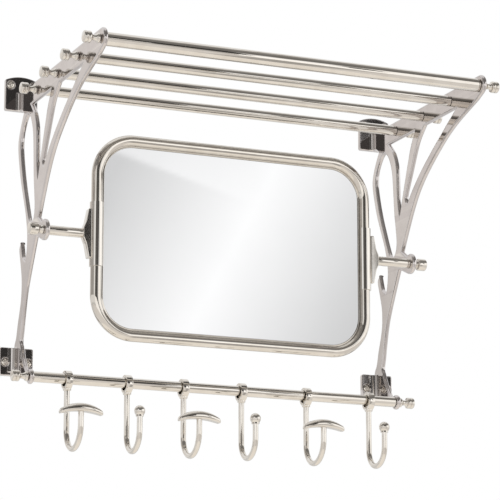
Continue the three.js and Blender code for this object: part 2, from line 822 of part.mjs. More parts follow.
function makeMirror() {
  const group = placed(new THREE.Group(), 0, pivotDepth, pivotHeight);
  group.add(piece('mirror_frame', frameGeometry(), polishedNickel()));
  group.add(piece('mirror_bead', beadGeometry(), polishedNickel()));
  group.add(piece('mirror_glass', sheetGeometry(rimRadius, glassBack, glassFront), silveredGlass()));
  const backing = sheetGeometry(rimRadius, backingFront - backingThickness, backingFront);
  group.add(piece('mirror_backing', backing, greyBoard()));
  for (const { name, sign, turn } of sides) {
    const sleeve = piece(`pivot_sleeve_${name}`, sleeveGeometry(), polishedNickel());
    sleeve.rotation.y = turn;
    group.add(placed(sleeve, (sign * mirrorWidth) / 2, 0, 0));
    const plate = piece(`pivot_plate_${name}`, pivotPlateGeometry(), polishedNickel());
    plate.rotation.y = turn;
    group.add(placed(plate, (sign * mirrorWidth) / 2, 0, 0));
    const rod = piece(`pivot_rod_${name}`, pivotRodGeometry(), polishedNickel());
    rod.rotation.y = turn;
    group.add(rod);
  }
  return group;
}

function makeKnobs() {
  const group = new THREE.Group();
  for (const { name, sign, turn } of sides) {
    const knob = piece(`pivot_knob_${name}`, knobGeometry(), polishedNickel());
    knob.rotation.y = turn;
    group.add(placed(knob, sign * (outerFace + seatGap), pivotDepth, pivotHeight));
  }
  return group;
}

const rack = new THREE.Group();
rack.add(makeBrackets(), makeShelf(), makeRail(), makeMirror(), makeKnobs());
hookPlaces.forEach((x, index) => rack.add(makeHook(index, x)));

export default rack;
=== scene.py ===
import json
import math

import bmesh
import bpy
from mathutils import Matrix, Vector


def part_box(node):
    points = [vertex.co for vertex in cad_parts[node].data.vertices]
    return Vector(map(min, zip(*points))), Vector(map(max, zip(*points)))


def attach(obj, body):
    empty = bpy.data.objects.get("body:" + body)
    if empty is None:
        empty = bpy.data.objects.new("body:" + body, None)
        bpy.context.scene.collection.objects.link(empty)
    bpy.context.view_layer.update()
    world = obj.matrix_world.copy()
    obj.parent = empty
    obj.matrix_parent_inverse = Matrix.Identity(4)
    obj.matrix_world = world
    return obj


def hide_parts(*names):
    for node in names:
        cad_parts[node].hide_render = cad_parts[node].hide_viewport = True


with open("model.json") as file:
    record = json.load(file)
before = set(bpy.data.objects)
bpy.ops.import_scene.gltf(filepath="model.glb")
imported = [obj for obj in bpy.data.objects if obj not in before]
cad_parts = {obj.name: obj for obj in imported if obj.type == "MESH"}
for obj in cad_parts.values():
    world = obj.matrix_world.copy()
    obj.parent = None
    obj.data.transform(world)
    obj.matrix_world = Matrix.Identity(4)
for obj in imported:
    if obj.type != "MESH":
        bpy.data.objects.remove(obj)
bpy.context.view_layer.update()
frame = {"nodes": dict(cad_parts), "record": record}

MM = 0.001
SIDES = (("left", -1), ("right", 1))  # each with the sign of its X
LEVELS = ("top", "bottom")
SCREW_SPOTS = ("outer", "inner")

# Facets and rounding
FINE_SIDES = 48
TUBE_SIDES = 36
HOLE_SIDES = 32
WIRE_SIDES = 28
CORNER_STEPS = 3
MIRROR_CORNER_STEPS = 20
EDGE_ROUNDING = 0.5 * MM
CASTING_ROUNDING = 1.9 * MM
FLANGE_ROUNDING = 0.8 * MM
SMOOTH_ANGLE = math.radians(32)

# Brackets
CORNER_TURN = math.radians(38)  # an outline that turns more than this has a corner there
STRAIGHT_RATIO = 2.6  # an edge this much longer than its neighbour is a straight one
OUTLINE_STEP = 1.2 * MM
FLANGE_THICKNESS = 6 * MM
FLANGE_FILLET = 4 * MM
FOOT_FILLET = 7.5 * MM  # where the bracket's foot flares into the bottom flange
FLANGE_CORNER = 2.2 * MM
FLANGE_ARCH_RISE = 4.5 * MM
TOP_SCREW_RISE = 30.5 * MM  # from the foot of the top flange to its screws
BOTTOM_FLANGE_HEIGHT = 32 * MM
WEB_ROOT = 1 * MM  # how deep a web reaches into its flange
TOP_WEB_INSET = 0.6 * MM  # from the foot of the top flange up to its web
TOP_WEB_DROP = 0.3 * MM  # from the top of the bracket down to that web
BOTTOM_WEB_DROP = 0.5 * MM  # from the top of the bottom flange down to its web

# Flange screws
SCREW_CLEARANCE = 0.25 * MM  # round the head
SCREW_ROOT = 1 * MM  # from the wall to where the drawn screw starts
SCREW_RIM_DROP = 0.2 * MM  # from the flange's face back to the rim of the head
SCREW_CROWN = 0.3 * MM  # how much higher the drawn head is than the solid, at its middle
SCREW_ROUNDING = 0.3 * MM
RECESS_DEPTH = 1.1 * MM
RECESS_REACH = 0.55  # of the cross's arms, as a share of the head's radius
RECESS_HALF_WIDTH = 0.182  # of an arm, as a share of the head's radius

# Finials, as shares of the button's radius
FINIAL_BEAD = 0.85
FINIAL_WAIST = 0.47
FINIAL_NECK = 1.42  # the neck under the button, as a share of the waist

# Hooks
COLLAR_SAG = 1.4 * MM  # from the rail's axis down to a collar's
COLLAR_PLAY = 0.15 * MM  # between the rail and a collar, where it hangs on the rail
COLLAR_ROUNDING = 0.7 * MM
FERRULE_LENGTH = 4.2 * MM
FERRULE_ROOT = 0.8 * MM  # how far it reaches into the collar
ROD_ROOT = 1 * MM  # how far a rod reaches into its collar, and into its cap or ball
HOOK_ROD_RADIUS = 3.8 * MM  # of the solid, about whose axis the finer drawn rod runs
DRAWN_ROD_RADIUS = 3.25 * MM
CAP_LENGTH = 50 * MM
CAP_RISE = 9.4 * MM
CAP_DROOP = 4.8 * MM
CAP_TIP_THICKNESS = 2.6 * MM  # above its widest line
CAP_WAIST = 3.4 * MM  # from the seat to its widest line
CAP_BELLY = 3.4 * MM  # below its widest line
CAP_FLANK = 0.28  # how upright the belly's sides are: 1 is round, less is more upright
CAP_TIP_ROUNDING = 0.07  # share of half the cap's length
CAP_BLUNTNESS = 2.6  # of its outline seen from above: 2 is an oval, more is squarer
CAP_FULLNESS = 0.8  # of its crown: 1 is round, less is fuller
CAP_TIP_BREADTH = 0.35  # share of its breadth
CAP_BELLY_TAPER = 0.3  # share of the belly that is gone at the tips
CAP_STATIONS = 44
CAP_SIDES = 32
BALL_NECK = 4.6 * MM  # radius of the ball's seat on the rod

# Mirror
MIRROR_CORNER = 43 * MM  # radius of the frame tube's axis
TUBE_SLIMNESS = 0.8 * MM  # the drawn tube's radius is this much under the solid's
BEAD_OVERLAP = 2.2 * MM  # how far the bead runs out into the tube
BEAD_LIP = 0.5 * MM  # and how far in over the glass
BEAD_SETBACK = 2.2 * MM
BEAD_BEVEL = 0.6 * MM
BEAD_LIP_DROP = 0.4 * MM  # from the bead's crest back to the edge of its lip
BEAD_ROUNDING = 0.35 * MM
GLASS_ROUNDING = 0.7 * MM
BACKING_ROUNDING = 0.3 * MM
SLEEVE_GAP = 0.1 * MM  # between a sleeve and its tube
SLEEVE_SLOT = math.radians(46)  # half of the opening through which the glass comes in
PLATE_FLANK = 2 * MM  # how far a pivot plate stands out before it narrows
PLATE_NOSE_LENGTH = 3 * MM
PLATE_NOSE_RISE = 7 * MM  # from the rod up to where the nose starts
PLATE_ROUNDING = 0.9 * MM
KNOB_CHAMFER = 0.9 * MM


# ------------------------------------------------------------------------------------------------
# Places and sizes, read from the frame
# ------------------------------------------------------------------------------------------------

BODY_OF = {node: body for body, nodes in frame["record"]["behaviour"]["bodies"].items() for node in nodes}
SLOT_OF = {part["node"]: part["material_slot"] for part in frame["record"]["subparts"]}


def middle(node):
    low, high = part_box(node)
    return (low + high) / 2


def size(node):
    low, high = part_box(node)
    return high - low


# ------------------------------------------------------------------------------------------------
# Meshes
# ------------------------------------------------------------------------------------------------

def put_in_scene(name, data):
    piece = bpy.data.objects.new(name, data)
    bpy.context.scene.collection.objects.link(piece)
    return piece


def faced_outward(mesh):
    """The same mesh, smooth and with all its faces turned outwards."""
    solid = bmesh.new()
    solid.from_mesh(mesh)
    bmesh.ops.recalc_face_normals(solid, faces=solid.faces)
    solid.to_mesh(mesh)
    solid.free()
    mesh.shade_smooth()
    return mesh


def mesh_from(name, vertices, faces):
    mesh = bpy.data.meshes.new(name)
    mesh.from_pydata([tuple(vertex) for vertex in vertices], [], faces)
    faced_outward(mesh)
    mesh.set_sharp_from_angle(angle=SMOOTH_ANGLE)
    return mesh


def joined(name, meshes):
    """One mesh that holds them all."""
    whole = bmesh.new()
    for mesh in meshes:
        whole.from_mesh(mesh)
    result = bpy.data.meshes.new(name)
    whole.to_mesh(result)
    whole.free()
    result.set_sharp_from_angle(angle=SMOOTH_ANGLE)
    return result


def between(value, low, high):
    """How far a value is from low to high, from 0 to 1."""
    return min(1, max(0, (value - low) / (high - low)))


def arc(centre, radius, start, stop, steps):
    """Points on a flat arc, its angles in degrees."""
    angles = [math.radians(start + (stop - start) * i / steps) for i in range(steps + 1)]
    return [Vector((centre[0] + radius * math.cos(a), centre[1] + radius * math.sin(a))) for a in angles]


def circle(centre, radius, sides):
    return arc(centre, radius, 0, 360, sides)[:-1]


def eased(points, rounding):
    """The same open outline with each corner rounded."""
    points = [Vector(point) for point in points]
    result = [points[0]]
    for before, corner, after in zip(points, points[1:], points[2:]):
        back = before - corner
        ahead = after - corner
        reach = min(rounding, back.length * 0.45, ahead.length * 0.45)
        start = corner + back.normalized() * reach
        stop = corner + ahead.normalized() * reach
        for i in range(CORNER_STEPS + 1):
            t = i / CORNER_STEPS
            result.append(start * (1 - t) ** 2 + corner * 2 * t * (1 - t) + stop * t ** 2)
    result.append(points[-1])
    return result


def flowing(points, steps):
    """A smooth curve through the points, which keeps both ends."""
    points = [Vector(point) for point in points]
    padded = [points[0] * 2 - points[1], *points, points[-1] * 2 - points[-2]]
    result = []
    for a, b, c, d in zip(padded, padded[1:], padded[2:], padded[3:]):
        for i in range(steps):
            t = i / steps
            slope = (c - a) * t
            bend = (a * 2 - b * 5 + c * 4 - d) * t ** 2
            twist = (b * 3 - a - c * 3 + d) * t ** 3
            result.append((b * 2 + slope + bend + twist) / 2)
    result.append(points[-1])
    return result


def turned(name, profile, sides=FINE_SIDES):
    """A piece turned about X. The profile's points are (radius, distance along X)."""
    vertices = []
    rings = []
    for radius, along in profile:
        corners = sides if radius > 0.01 * MM else 1
        first = len(vertices)
        rings.append(range(first, first + corners))
        for k in range(corners):
            angle = 2 * math.pi * k / corners
            vertices.append((along, radius * math.cos(angle), radius * math.sin(angle)))
    faces = []
    for near, far in zip(rings, rings[1:]):
        for k in range(sides):
            turn = k + 1
            around = [near[k % len(near)], near[turn % len(near)], far[turn % len(far)], far[k % len(far)]]
            corners = list(dict.fromkeys(around))
            if len(corners) > 2:
                faces.append(corners)
    return mesh_from(name, vertices, faces)


def swept(name, path, across, section, closed=False):
    """A closed section carried along a flat path. `across` is square to the path's plane."""
    count = len(path)
    width = len(section)
    vertices = []
    for i, point in enumerate(path):
        ahead = path[(i + 1) % count] if closed else path[min(i + 1, count - 1)]
        behind = path[i - 1] if closed else path[max(i - 1, 0)]
        side = across.cross((ahead - behind).normalized())
        vertices += [point + side * u + across * v for u, v in section]
    faces = []
    for i in range(count if closed else count - 1):
        here = i * width
        there = (i + 1) % count * width
        for k in range(width):
            turn = (k + 1) % width
            faces.append([here + k, here + turn, there + turn, there + k])
    if not closed:
        faces.append(list(range(width)))
        faces.append(list(range((count - 1) * width, count * width)))
    return mesh_from(name, vertices, faces)


def plate(name, outlines, thickness, rounding, place):
    """A flat plate with holes and rounded edges.

    `place` turns (u, v, height above the plate's middle) into a point.
    """
    curve = bpy.data.curves.new(name, "CURVE")
    curve.dimensions = "2D"
    curve.fill_mode = "BOTH"
    curve.extrude = thickness / 2 - rounding
    curve.bevel_depth = rounding
    curve.bevel_resolution = 4
    curve.offset = -rounding
    for outline in outlines:
        spline = curve.splines.new("POLY")
        spline.points.add(len(outline) - 1)
        spline.use_cyclic_u = True
        for slot, (u, v) in zip(spline.points, outline):
            slot.co = (u, v, 0, 1)
    holder = put_in_scene(name, curve)
    seen = bpy.context.evaluated_depsgraph_get()
    mesh = bpy.data.meshes.new_from_object(holder.evaluated_get(seen))
    bpy.data.objects.remove(holder)
    bpy.data.curves.remove(curve)
    for vertex in mesh.vertices:
        vertex.co = place(*vertex.co)
    mesh.materials.clear()
    return faced_outward(mesh)


def stood_up(mesh):
    """Turns a piece that lies along X so that it stands along Z."""
    for vertex in mesh.vertices:
        along, u, v = vertex.co
        vertex.co = (u, v, along)
    return mesh


def turn_round(mesh, sign):
    """Turns a right-hand piece about Z for the left, where sign is -1."""
    if sign < 0:
        for vertex in mesh.vertices:
            vertex.co = (-vertex.co.x, -vertex.co.y, vertex.co.z)
    return mesh


def moved(mesh, offset):
    for vertex in mesh.vertices:
        vertex.co = vertex.co + offset
    return mesh


# ------------------------------------------------------------------------------------------------
# Brackets
# ------------------------------------------------------------------------------------------------

def plate_faces_x(solid):
    """The X of a bracket's two broad faces, the smaller first."""
    areas = {}
    for face in solid.faces:
        if abs(face.normal.x) > 0.999:
            x = round(face.calc_center_median().x, 5)
            areas[x] = areas.get(x, 0) + face.calc_area()
    return sorted(sorted(areas, key=areas.get)[-2:])


def chained(edges):
    """Closed loops of vertices from loose edges."""
    neighbours = {}
    for edge in edges:
        a, b = edge.verts
        neighbours.setdefault(a, []).append(b)
        neighbours.setdefault(b, []).append(a)
    loops = []
    while neighbours:
        start = next(iter(neighbours))
        loop = [start]
        here = neighbours[start][0]
        before = start
        while here is not start:
            loop.append(here)
            onward = [vertex for vertex in neighbours[here] if vertex is not before]
            before, here = here, onward[0]
        for vertex in loop:
            neighbours.pop(vertex)
        loops.append(loop)
    return loops


def without_extra_points(outline):
    """Drops the points that repeat the one before or lie on a straight line between their neighbours."""
    outline = [point for i, point in enumerate(outline) if (point - outline[i - 1]).length > 0.02 * MM]
    count = len(outline)
    kept = []
    for i, point in enumerate(outline):
        back = (point - outline[i - 1]).normalized()
        ahead = (outline[(i + 1) % count] - point).normalized()
        if back.dot(ahead) < 0.99999:
            kept.append(point)
    return kept


def is_break(back, ahead):
    """Whether two edges of an outline meet in a corner, or where a straight one starts or ends."""
    ratio = max(back.length, ahead.length) / min(back.length, ahead.length)
    return back.angle(ahead) > CORNER_TURN or ratio > STRAIGHT_RATIO


def smooth_outline(outline):
    """The outline with its curved stretches drawn finely, and its corners and straight edges kept."""
    count = len(outline)
    ways = [outline[(i + 1) % count] - outline[i] for i in range(count)]
    breaks = [i for i in range(count) if is_break(ways[i - 1], ways[i])]
    if not breaks:
        loop = [*outline[-2:], *outline, *outline[:2]]
        steps = max(2, round(ways[0].length / OUTLINE_STEP))
        return flowing(loop, steps)[2 * steps:-2 * steps - 1]
    result = []
    for start, stop in zip(breaks, [*breaks[1:], breaks[0] + count]):
        stretch = [outline[i % count] for i in range(start, stop + 1)]
        if len(stretch) > 2:
            longest = max((b - a).length for a, b in zip(stretch, stretch[1:]))
            stretch = flowing(stretch, max(2, round(longest / OUTLINE_STEP)))
        result += stretch[:-1]
    return result


def is_behind_web(node, point):
    """Whether a point of a bracket's outline is where a flange's web covers the plate's end."""
    near_wall = point.x < FLANGE_THICKNESS + FLANGE_FILLET + 0.1 * MM
    beside_flange = point.y > top_flange_foot(node) - 0.1 * MM or point.y < BOTTOM_FLANGE_HEIGHT + 0.1 * MM
    return near_wall and beside_flange


def top_flange_foot(node):
    return middle(node.replace("bracket", "flange_screw") + "_top_outer").z - TOP_SCREW_RISE


def casting_outlines(node):
    """The outline of a bracket and of its gaps and holes, as (depth, height), and the X of its middle."""
    solid = bmesh.new()
    solid.from_mesh(frame["nodes"][node].data)
    bmesh.ops.remove_doubles(solid, verts=solid.verts, dist=0.002 * MM)
    low_x, high_x = plate_faces_x(solid)
    broad = {face for face in solid.faces
             if abs(face.normal.x) > 0.999 and abs(face.calc_center_median().x - high_x) < 0.01 * MM}
    rim = [edge for edge in solid.edges if len(broad.intersection(edge.link_faces)) == 1]
    outlines = []
    for loop in chained(rim):
        outline = [Vector((-vertex.co.y, vertex.co.z)) for vertex in loop]
        for point in outline:
            if is_behind_web(node, point):
                point.x = FLANGE_THICKNESS / 2
        outlines.append(smooth_outline(without_extra_points(outline)))
    solid.free()
    return outlines, (low_x + high_x) / 2, high_x - low_x


def flange_outline(node, is_top, x):
    """The outline of a wall flange, as (X, height), with its corners rounded."""
    low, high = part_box(node)
    half = (high.x - low.x) / 2
    if is_top:
        shoulder = high.z - FLANGE_ARCH_RISE
        foot = top_flange_foot(node)
        radius = (half ** 2 + FLANGE_ARCH_RISE ** 2) / (2 * FLANGE_ARCH_RISE)
        spread = math.degrees(math.asin(half / radius))
        crown = arc((x, high.z - radius), radius, 90 - spread, 90 + spread, 24)
        corners = [(x, foot), (x + half, foot), (x + half, shoulder), *crown[1:-1], (x - half, shoulder),
                   (x - half, foot), (x, foot)]
    else:
        foot = 0
        shoulder = BOTTOM_FLANGE_HEIGHT
        corners = [(x, foot), (x + half, foot), (x + half, shoulder), (x - half, shoulder),
                   (x - half, foot), (x, foot)]
    return eased(corners, FLANGE_CORNER)[:-1], foot, shoulder


def flange_web(name, x, half, low, high, fillet):
    """The cast web between a flange and both faces of the bracket, which lie `half` from its middle, x."""
    rim = half + fillet
    crest = FLANGE_THICKNESS + fillet
    section = [
        (-rim, FLANGE_THICKNESS - WEB_ROOT),
        *arc((-rim, crest), fillet, -90, 0, 10),
        *arc((rim, crest), fillet, 180, 270, 10),
        (rim, FLANGE_THICKNESS - WEB_ROOT),
    ]
    vertices = [(x + u, -depth, z) for z in (low, high) for u, depth in section]
    count = len(section)
    faces = [[k, (k + 1) % count, (k + 1) % count + count, k + count] for k in range(count)]
    faces += [list(range(count)), list(range(count, 2 * count))]
    return mesh_from(name, vertices, faces)


def bracket_mesh(side):
    """A cast bracket with its two wall flanges, and the webs that join them to it."""
    node = f"bracket_{side}"
    outlines, x, thickness = casting_outlines(node)
    casting = plate(f"{node}_plate", outlines, thickness, CASTING_ROUNDING,
                    lambda depth, height, lift: Vector((x + lift, -depth, height)))
    parts = [casting]
    for level in LEVELS:
        is_top = level == "top"
        outline, foot, shoulder = flange_outline(node, is_top, x)
        holes = []
        for spot in SCREW_SPOTS:
            screw = f"flange_screw_{side}_{level}_{spot}"
            place = middle(screw)
            holes.append(circle((place.x, place.z), size(screw).x / 2 + SCREW_CLEARANCE, HOLE_SIDES))
        parts.append(plate(f"{node}_{level}_flange", [outline, *holes], FLANGE_THICKNESS, FLANGE_ROUNDING,
                           lambda u, v, lift: Vector((u, -FLANGE_THICKNESS / 2 - lift, v))))
        if is_top:
            bracket_top = max(point.y for outline in outlines for point in outline)
            web = (foot + TOP_WEB_INSET, bracket_top - TOP_WEB_DROP, FLANGE_FILLET)
        else:
            web = (FLANGE_FILLET, shoulder - BOTTOM_WEB_DROP, FOOT_FILLET)
        parts.append(flange_web(f"{node}_{level}_web", x, thickness / 2, *web))
    return joined(f"{node}_casting", parts)


def screw_mesh(node):
    """A countersunk screw with a domed head and a cross recess."""
    head = size(node).x / 2
    depth = size(node).y
    rim = FLANGE_THICKNESS - SCREW_RIM_DROP
    dome = [(head * math.cos(a), rim + (depth - rim) * math.sin(a)) for a in (0.3, 0.6, 0.9, 1.2)]
    profile = [(0, SCREW_ROOT), (head, SCREW_ROOT), (head, rim), *dome, (0, depth + SCREW_CROWN)]
    mesh = turned(f"{node}_head", eased(profile, SCREW_ROUNDING))
    for vertex in mesh.vertices:
        along, u, v = vertex.co
        near, far = sorted((abs(u), abs(v)))
        in_cross = near < head * RECESS_HALF_WIDTH and far < head * RECESS_REACH
        if in_cross and along > rim:
            along -= RECESS_DEPTH
        vertex.co = (u, -along, v)
    place = middle(node)
    return moved(mesh, Vector((place.x, 0, place.z)))


# ------------------------------------------------------------------------------------------------
# Shelf and rail
# ------------------------------------------------------------------------------------------------

def rod_end():
    """How far the tubes, the rail and the pivot rods reach from the rack's middle towards a bracket."""
    return size("shelf_tube_1").x / 2


def rod_mesh(node, start, stop):
    """A straight rod or tube along X, its end edges just broken."""
    radius = size(node).z / 2
    profile = [(0, start), (radius, start), (radius, stop), (0, stop)]
    return turned(f"{node}_rod", eased(profile, EDGE_ROUNDING))


def long_rod_mesh(node):
    """A rod or tube that runs from bracket to bracket."""
    centre = middle(node)
    return moved(rod_mesh(node, -rod_end(), rod_end()), Vector((0, centre.y, centre.z)))


def finial_mesh(node, sign):
    """A bead, a waist and a button with a groove round it."""
    low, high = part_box(node)
    seat = low.x if sign > 0 else high.x
    button = (high.z - low.z) / 2
    bead = button * FINIAL_BEAD
    waist = button * FINIAL_WAIST
    neck = (waist * FINIAL_NECK, 10.1 * MM)
    body = flowing([
        (bead * 0.8, 0), (bead * 0.97, 1.0 * MM), (bead, 2.1 * MM), (bead * 0.93, 3.2 * MM),
        (bead * 0.72, 4.3 * MM), (waist * 1.12, 5.6 * MM), (waist, 7.2 * MM), (waist * 1.06, 8.6 * MM),
        neck,
    ], 4)
    head = eased([
        neck, (button * 0.9, 10.4 * MM), (button, 11.6 * MM), (button, 13.9 * MM),
        (button - 0.9 * MM, 14.5 * MM), (button, 15.1 * MM), (button, 17.9 * MM),
        (button * 0.86, 18.9 * MM), (0, 19.4 * MM),
    ], 0.8 * MM)
    mesh = turn_round(turned(f"{node}_turned", [(0, 0), *body, *head[1:]]), sign)
    centre = middle(node)
    return moved(mesh, Vector((seat, centre.y, centre.z)))


# ------------------------------------------------------------------------------------------------
# Hooks
# ------------------------------------------------------------------------------------------------

def hook_centre(index):
    """The point on the rail's axis that a hook turns about."""
    return middle(f"hook_{index}_collar")


def collar_mesh(index):
    """A loose ring that hangs on the rail and slides along it."""
    node = f"hook_{index}_collar"
    half = size(node).x / 2
    rim = size(node).z / 2 + COLLAR_SAG
    bore = size("hook_rail").z / 2 + COLLAR_SAG + COLLAR_PLAY
    corners = [(bore, 0), (bore, -half), (rim, -half), (rim, half), (bore, half), (bore, 0)]
    ring = turned(f"{node}_ring", eased(corners, COLLAR_ROUNDING))
    return moved(ring, hook_centre(index) - Vector((0, 0, COLLAR_SAG)))


def hook_path(width, shank_top, bend_height, tip_height):
    """The axis of a hook's rod, from its collar round the bend and up to its tip."""
    bend = width / 2
    points = [Vector((0, 0, shank_top)), Vector((0, 0, (shank_top + bend_height) / 2))]
    for along, height in arc((-bend, bend_height), bend, 0, -180, 40):
        points.append(Vector((0, along, height)))
    points.append(Vector((0, -width, tip_height)))
    return points


def hook_rod_mesh(index, tip_node):
    """A bent rod, with the ferrule that holds it under its collar."""
    node = f"hook_{index}_rod"
    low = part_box(node)[0]
    centre = hook_centre(index)
    collar = size(f"hook_{index}_collar").z / 2
    radius = DRAWN_ROD_RADIUS
    width = abs(low.y - centre.y) - HOOK_ROD_RADIUS
    bend_height = low.z - centre.z + HOOK_ROD_RADIUS + width / 2
    tip_height = seat_height(tip_node) - centre.z
    path = hook_path(width, -collar + ROD_ROOT, bend_height, tip_height + ROD_ROOT)
    wire = swept(f"{node}_wire", path, Vector((1, 0, 0)), circle((0, 0), radius, WIRE_SIDES))
    foot = -collar - FERRULE_LENGTH
    head = FERRULE_ROOT - collar
    profile = [
        (0, foot), (radius + 0.2 * MM, foot), (radius + 1.5 * MM, -collar - FERRULE_LENGTH * 0.8),
        (radius + 1.6 * MM, head), (0, head),
    ]
    ferrule = stood_up(turned(f"{node}_ferrule", eased(profile, EDGE_ROUNDING), WIRE_SIDES))
    return moved(joined(f"{node}_bent", [wire, ferrule]), centre)


def seat_height(tip_node):
    """The height of the seat under a cap or a ball, where the rod ends."""
    low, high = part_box(tip_node)
    if tip_node.endswith("cap"):
        return high.z - CAP_RISE
    return low.z


def cap_mesh(index):
    """A crescent with a round crown, a shallow belly, and blunt tips that hang down a little."""
    node = f"hook_{index}_cap"
    low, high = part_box(node)
    half = CAP_LENGTH / 2
    breadth = (high.y - low.y) / 2
    vertices = []
    for i in range(CAP_STATIONS + 1):
        share = math.sin(math.pi * (i / CAP_STATIONS - 0.5))
        fullness = max(0.03, 1 - abs(share) ** CAP_BLUNTNESS) ** (1 / CAP_BLUNTNESS)
        seat = CAP_WAIST - CAP_DROOP * share ** 2
        crown = CAP_RISE - CAP_WAIST - CAP_TIP_THICKNESS
        rise = crown * (1 - share ** 2) ** CAP_FULLNESS + CAP_TIP_THICKNESS
        past_rounding = between((abs(share) - 1) / CAP_TIP_ROUNDING, -1, 0)
        end = max(0.06, 1 - past_rounding ** 2) ** 0.5
        width = breadth * (CAP_TIP_BREADTH + (1 - CAP_TIP_BREADTH) * fullness) * end ** 0.5
        for k in range(CAP_SIDES):
            angle = 2 * math.pi * k / CAP_SIDES
            across = math.cos(angle)
            up = math.sin(angle)
            if up > 0:
                lift = rise * up ** CAP_FULLNESS * end
            else:
                lift = CAP_BELLY * (1 - CAP_BELLY_TAPER * share ** 2) * up * end
                across = math.copysign(abs(across) ** CAP_FLANK, across)
            vertices.append((share * half, across * width, seat + lift))
    last = CAP_STATIONS * CAP_SIDES
    faces = [list(range(CAP_SIDES)), list(range(last, last + CAP_SIDES))]
    for i in range(CAP_STATIONS):
        here = i * CAP_SIDES
        there = here + CAP_SIDES
        for k in range(CAP_SIDES):
            turn = (k + 1) % CAP_SIDES
            faces.append([here + k, here + turn, there + turn, there + k])
    centre = middle(node)
    mesh = mesh_from(f"{node}_crescent", vertices, faces)
    return moved(mesh, Vector((centre.x, centre.y, seat_height(node))))


def ball_mesh(index):
    """A ball with a short neck, in which its rod ends."""
    node = f"hook_{index}_ball"
    radius = size(node).x / 2
    neck = [(0, -radius), (BALL_NECK, -radius * 0.98), (BALL_NECK - 0.2 * MM, -radius * 0.72)]
    half_round = [(point.y, point.x) for point in arc((0, 0), radius, 180, 0, 24)]
    above_neck = [point for point in half_round if point[1] > -radius * 0.7]
    ball = stood_up(turned(f"{node}_turned", [*neck, *above_neck]))
    centre = middle(node)
    return moved(ball, Vector((centre.x, centre.y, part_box(node)[1].z - radius)))


# ------------------------------------------------------------------------------------------------
# Mirror
# ------------------------------------------------------------------------------------------------

def rounded_rectangle(half_width, half_height, corner, steps):
    """Points round a rounded rectangle, as (X, Z)."""
    corners = ((1, 1, 0), (-1, 1, 90), (-1, -1, 180), (1, -1, 270))
    points = []
    for sign_x, sign_z, start in corners:
        centre = (sign_x * (half_width - corner), sign_z * (half_height - corner))
        points += arc(centre, corner, start, start + 90, steps)
    return points


def mirror_measures():
    """The frame tube's radius, and half the width and height of the frame to the tube's axis."""
    tube = size("mirror_frame").y / 2
    return {
        "tube": tube,
        "half_width": size("mirror_frame").x / 2 - tube,
        "half_height": size("mirror_frame").z / 2 - tube,
    }


def pivot_centre():
    """The middle of the mirror, through which its pivots' axis runs."""
    return middle("mirror_frame")


def mirror_path(inset):
    """The frame's outline round the mirror's middle, drawn in from the tube's axis."""
    measures = mirror_measures()
    outline = rounded_rectangle(measures["half_width"] - inset, measures["half_height"] - inset,
                                MIRROR_CORNER - inset, MIRROR_CORNER_STEPS)
    return [Vector((x, 0, z)) for x, z in outline]


def frame_tube_mesh():
    section = circle((0, 0), mirror_measures()["tube"] - TUBE_SLIMNESS, TUBE_SIDES)
    mesh = swept("mirror_frame_tube", mirror_path(0), Vector((0, -1, 0)), section, closed=True)
    return moved(mesh, pivot_centre())


def bead_mesh():
    """The ridge that holds the glass, with a bevelled front."""
    low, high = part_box("mirror_bead")
    centre = pivot_centre()
    inset = mirror_measures()["half_width"] - (high.x - low.x) / 2
    back = centre.y - high.y
    front = centre.y - low.y - BEAD_SETBACK
    section = eased([
        (0, back), (BEAD_OVERLAP, back), (BEAD_OVERLAP, front - BEAD_BEVEL), (0, front),
        (-BEAD_LIP, front - BEAD_LIP_DROP), (-BEAD_LIP, back), (0, back),
    ], BEAD_ROUNDING)[:-1]
    path = mirror_path(inset)
    side = Vector((0, -1, 0)).cross((path[1] - path[0]).normalized())
    outward = 1 if side.dot(path[0]) > 0 else -1
    section = [(u * outward, v) for u, v in section]
    return moved(swept("mirror_bead_ridge", path, Vector((0, -1, 0)), section, closed=True), centre)


def sheet_mesh(node, rounding):
    """The glass, or the sheet behind it."""
    low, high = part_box(node)
    centre = pivot_centre()
    inset = mirror_measures()["half_width"] - (high.x - low.x) / 2
    outline = [(point.x, point.z) for point in mirror_path(inset)]
    depth = (low.y + high.y) / 2
    return plate(f"{node}_sheet", [outline], high.y - low.y, rounding,
                 lambda u, v, lift: Vector((centre.x + u, depth - lift, centre.z + v)))


def sleeve_mesh(side, sign):
    """The strap round the frame's side tube, open towards the glass."""
    node = f"pivot_sleeve_{side}"
    low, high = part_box(node)
    outer = (high.y - low.y) / 2 - TUBE_SLIMNESS
    inner = mirror_measures()["tube"] - TUBE_SLIMNESS + SLEEVE_GAP
    reach = 180 - math.degrees(SLEEVE_SLOT)
    section = [*arc((0, 0), outer, reach, -reach, 40), *arc((0, 0), inner, -reach, reach, 40)]
    section = [(u * sign, v) for u, v in section]
    top = (high.z - low.z) / 2
    path = [Vector((0, 0, -top)), Vector((0, 0, top))]
    mesh = swept(f"{node}_strap", path, Vector((0, 1, 0)), section)
    centre = pivot_centre()
    tube_x = sign * mirror_measures()["half_width"]
    return moved(mesh, Vector((tube_x, centre.y, centre.z)))


